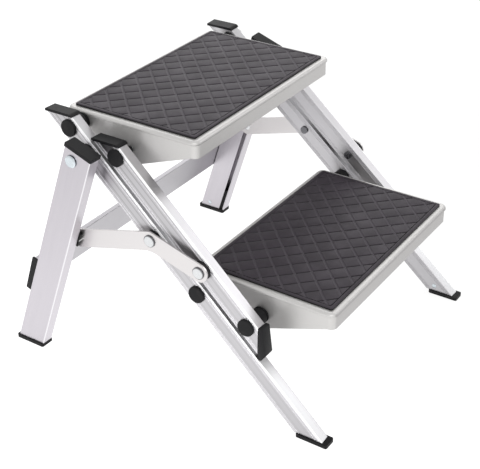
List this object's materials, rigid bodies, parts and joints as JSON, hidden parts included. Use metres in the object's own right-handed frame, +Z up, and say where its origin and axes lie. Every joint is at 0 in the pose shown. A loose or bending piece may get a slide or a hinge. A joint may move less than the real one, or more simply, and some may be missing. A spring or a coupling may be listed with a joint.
{
  "type": "caravan entry step",
  "caption": "Folding caravan entry step: rubber-matted aluminium treads carried by sloping rails and link bars, with rear legs that swing in as the treads fold up.",
  "frame": {"origin": "on the ground below the middle of the opened step", "axes": "+X to the right of somebody who climbs the step, +Y from the low front towards the vehicle, +Z up"},
  "size_m": [0.5336, 0.557, 0.4031],
  "materials": {
    "tray_metal": "satin anodised sheet",
    "tread_mat": "moulded ribbed rubber",
    "profile_metal": "anodised extrusion",
    "crossmember_metal": "anodised extrusion",
    "stay_metal": "satin plate",
    "bolt_steel": "zinc plated",
    "rivet_metal": "plain",
    "cap_plastic": "moulded",
    "foot_plastic": "moulded, grippy",
    "knob_plastic": "moulded",
    "bush_plastic": "moulded nylon"
  },
  "bodies": {
    "rails": {"rail_left": "profile_metal", "rail_right": "profile_metal", "rail_caps": "cap_plastic", "rail_feet": "foot_plastic", "rail_foot_rivets": "rivet_metal", "tread_pivot_bolts": "bolt_steel", "tread_pivot_nuts": "bolt_steel", "tread_pivot_knobs": "knob_plastic", "tread_pivot_bushes": "bush_plastic", "leg_pivot_bolts": "bolt_steel", "leg_pivot_bushes": "bush_plastic", "stay_pivot_bolts": "bolt_steel", "stay_pivot_discs": "bush_plastic"},
    "link_bars": {"link_bar_left": "profile_metal", "link_bar_right": "profile_metal", "link_bar_caps": "cap_plastic", "link_bar_end_caps": "cap_plastic", "link_bolts": "bolt_steel", "link_nuts": "bolt_steel", "link_knobs": "knob_plastic", "link_bushes": "bush_plastic", "stay_link_bolts": "bolt_steel", "stay_link_discs": "bush_plastic"},
    "upper_step": {"upper_tread": "tray_metal", "upper_mat": "tread_mat"},
    "lower_step": {"lower_tread": "tray_metal", "lower_mat": "tread_mat"},
    "stays": {"stay_left": "stay_metal", "stay_right": "stay_metal", "stay_guide_discs": "bush_plastic", "stay_guide_rivets": "rivet_metal"},
    "rear_legs": {"leg_left": "profile_metal", "leg_right": "profile_metal", "leg_caps": "cap_plastic", "leg_feet": "foot_plastic", "leg_foot_rivets": "rivet_metal", "crossmember": "crossmember_metal", "crossmember_caps": "cap_plastic", "crossmember_bolts": "bolt_steel"}
  },
  "joints": [
    {"name": "tread_fold", "type": "hinge", "parent": "rails", "child": "upper_step", "pos_m": [0, 0.16713, 0.382], "axis": [-1, 0, 0], "range_deg": [0, 127]},
    {"name": "link_turn", "type": "hinge", "parent": "upper_step", "child": "link_bars", "pos_m": [0, 0.0828, 0.35686], "axis": [-1, 0, 0], "range_deg": [-127, 0]},
    {"name": "lower_tread_fold", "type": "hinge", "parent": "rails", "child": "lower_step", "pos_m": [0, -0.05596, 0.179], "axis": [-1, 0, 0], "range_deg": [0, 127]},
    {"name": "stay_turn", "type": "hinge", "parent": "rails", "child": "stays", "pos_m": [0, 0.01921, 0.2474], "axis": [-1, 0, 0], "range_deg": [0, 127]},
    {"name": "leg_fold", "type": "hinge", "parent": "rails", "child": "rear_legs", "pos_m": [0, 0.13496, 0.35272], "axis": [-1, 0, 0], "range_deg": [0, 63.5]}
  ],
  "couplings": [
    {"joint": "link_turn", "follows": "tread_fold", "ratio": -1},
    {"joint": "lower_tread_fold", "follows": "tread_fold", "ratio": 1},
    {"joint": "stay_turn", "follows": "tread_fold", "ratio": 1},
    {"joint": "leg_fold", "follows": "tread_fold", "ratio": 0.5}
  ]
}
